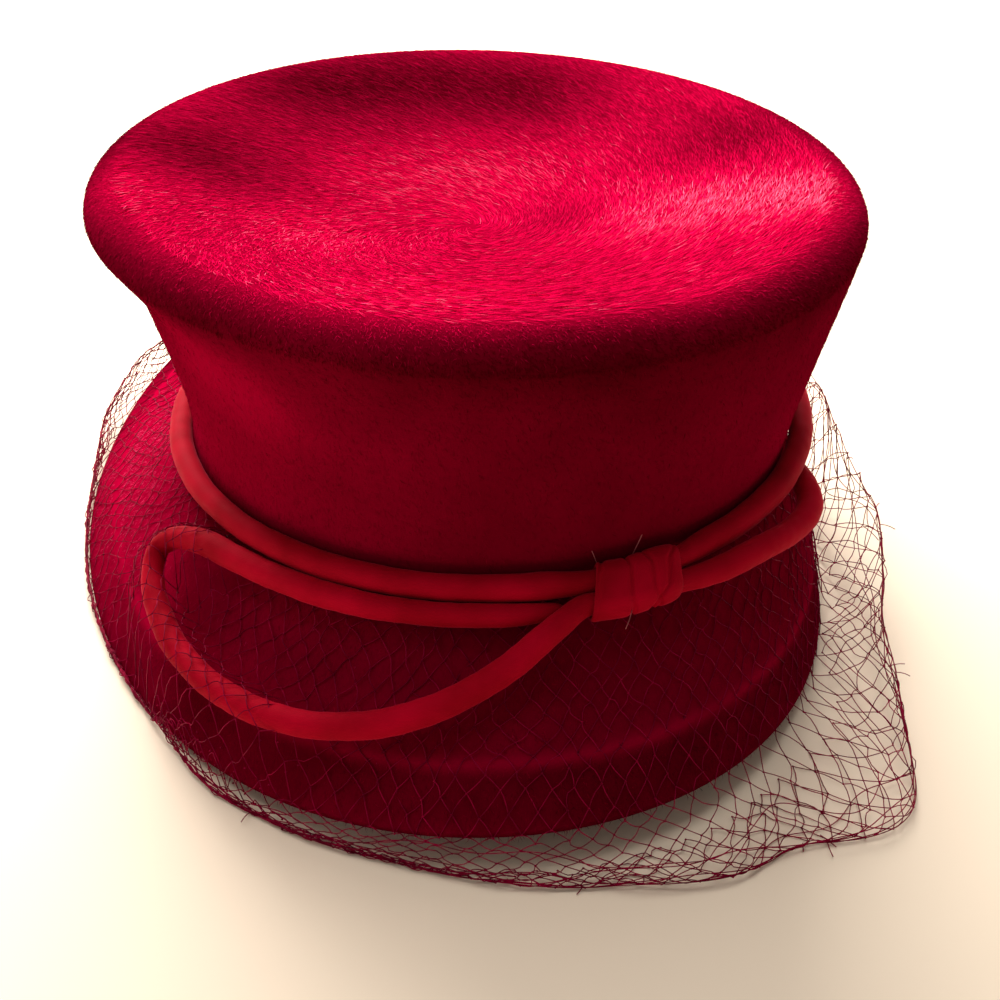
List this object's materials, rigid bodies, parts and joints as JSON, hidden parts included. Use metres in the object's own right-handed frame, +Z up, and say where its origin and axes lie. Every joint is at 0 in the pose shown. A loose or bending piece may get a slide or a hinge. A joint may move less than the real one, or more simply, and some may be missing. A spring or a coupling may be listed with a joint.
{
  "type": "felt topper hat",
  "caption": "Felt hat with a bell crown and dished tip, a brim turned down all round, a knotted cord band with one long loop, and a skirt of veil net.",
  "frame": {"origin": "on the floor that the hat rests on, below the middle of its bounding box", "axes": "+Z up towards the tip, -Y towards the front with the knot, +X towards the side with the veil's point"},
  "size_m": [0.2266, 0.3028, 0.1166],
  "materials": {
    "crown_felt": "long brushed nap",
    "brim_felt": "brushed nap",
    "cord_cloth": "matt",
    "veil_net": "open net"
  },
  "bodies": {
    "root": {"crown": "crown_felt", "brim": "brim_felt", "band_cord": "cord_cloth", "loop_cord": "cord_cloth", "knot_wrap": "cord_cloth", "veil": "veil_net"}
  },
  "joints": []
}
